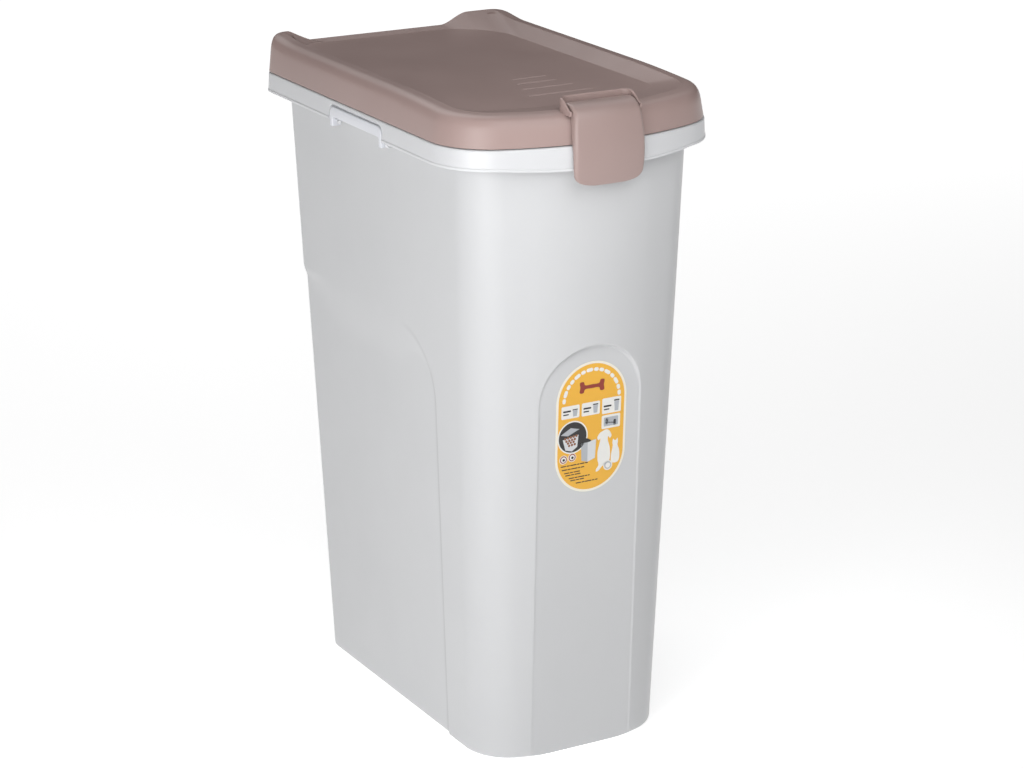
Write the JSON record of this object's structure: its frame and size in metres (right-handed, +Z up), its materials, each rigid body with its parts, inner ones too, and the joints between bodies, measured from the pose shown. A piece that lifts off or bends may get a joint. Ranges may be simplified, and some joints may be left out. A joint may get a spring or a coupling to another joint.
{
  "type": "pet food storage bin",
  "caption": "Tall tapered plastic bin for dry pet food, with a latched hinged lid, a swinging grip on each side and a pair of rear wheels",
  "frame": {"origin": "On the floor, at the middle of the underside of the body's base", "axes": "+Z up, +X towards the right-hand side seen from the front, -Y towards the latch and the label, +Y towards the lid's hinge and the wheels"},
  "size_m": [0.2544, 0.409, 0.5805],
  "materials": {
    "body_plastic": "fine satin moulding, pale grey",
    "rim_plastic": "smooth moulding, near white",
    "grip_plastic": "smooth moulding, near white",
    "lid_plastic": "fine satin moulding, grey brown",
    "latch_plastic": "fine satin moulding, grey brown",
    "seal_rubber": "soft, pale",
    "label_film": "printed film with a white border",
    "wheel_plastic": "black moulding",
    "axle_metal": "drawn rod",
    "pin_metal": "drawn rod",
    "pin_plastic": "plain moulding"
  },
  "bodies": {
    "bin": {"bin_body": "body_plastic", "rim_frame": "rim_plastic", "label": "label_film", "lid_seal": "seal_rubber", "hinge_pin_left": "pin_plastic", "hinge_pin_right": "pin_plastic", "grip_pin_left_front": "pin_plastic", "grip_pin_left_rear": "pin_plastic", "grip_pin_right_front": "pin_plastic", "grip_pin_right_rear": "pin_plastic", "wheel_axle": "axle_metal", "axle_cap_left": "wheel_plastic", "axle_cap_right": "wheel_plastic"},
    "lid": {"lid": "lid_plastic", "latch_pin": "pin_metal"},
    "latch": {"latch": "latch_plastic"},
    "grip_left": {"grip_left": "grip_plastic"},
    "grip_right": {"grip_right": "grip_plastic"},
    "wheel_left": {"wheel_left": "wheel_plastic"},
    "wheel_right": {"wheel_right": "wheel_plastic"}
  },
  "joints": [
    {"name": "lid_hinge", "type": "hinge", "parent": "bin", "child": "lid", "pos_m": [0, 0.201, 0.5395], "axis": [-1, 0, 0], "range_deg": [0, 110]},
    {"name": "latch_hinge", "type": "hinge", "parent": "lid", "child": "latch", "pos_m": [0, -0.1785, 0.575], "axis": [-1, 0, 0], "range_deg": [0, 100]},
    {"name": "grip_left_swing", "type": "hinge", "parent": "bin", "child": "grip_left", "pos_m": [-0.12, 0.006, 0.5255], "axis": [0, -1, 0], "range_deg": [0, 90]},
    {"name": "grip_right_swing", "type": "hinge", "parent": "bin", "child": "grip_right", "pos_m": [0.12, 0.006, 0.5255], "axis": [0, 1, 0], "range_deg": [0, 90]},
    {"name": "wheel_left_spin", "type": "hinge", "parent": "bin", "child": "wheel_left", "pos_m": [-0.057, 0.15, 0.0205], "axis": [1, 0, 0], "continuous": true},
    {"name": "wheel_right_spin", "type": "hinge", "parent": "bin", "child": "wheel_right", "pos_m": [0.057, 0.15, 0.0205], "axis": [1, 0, 0], "continuous": true}
  ]
}
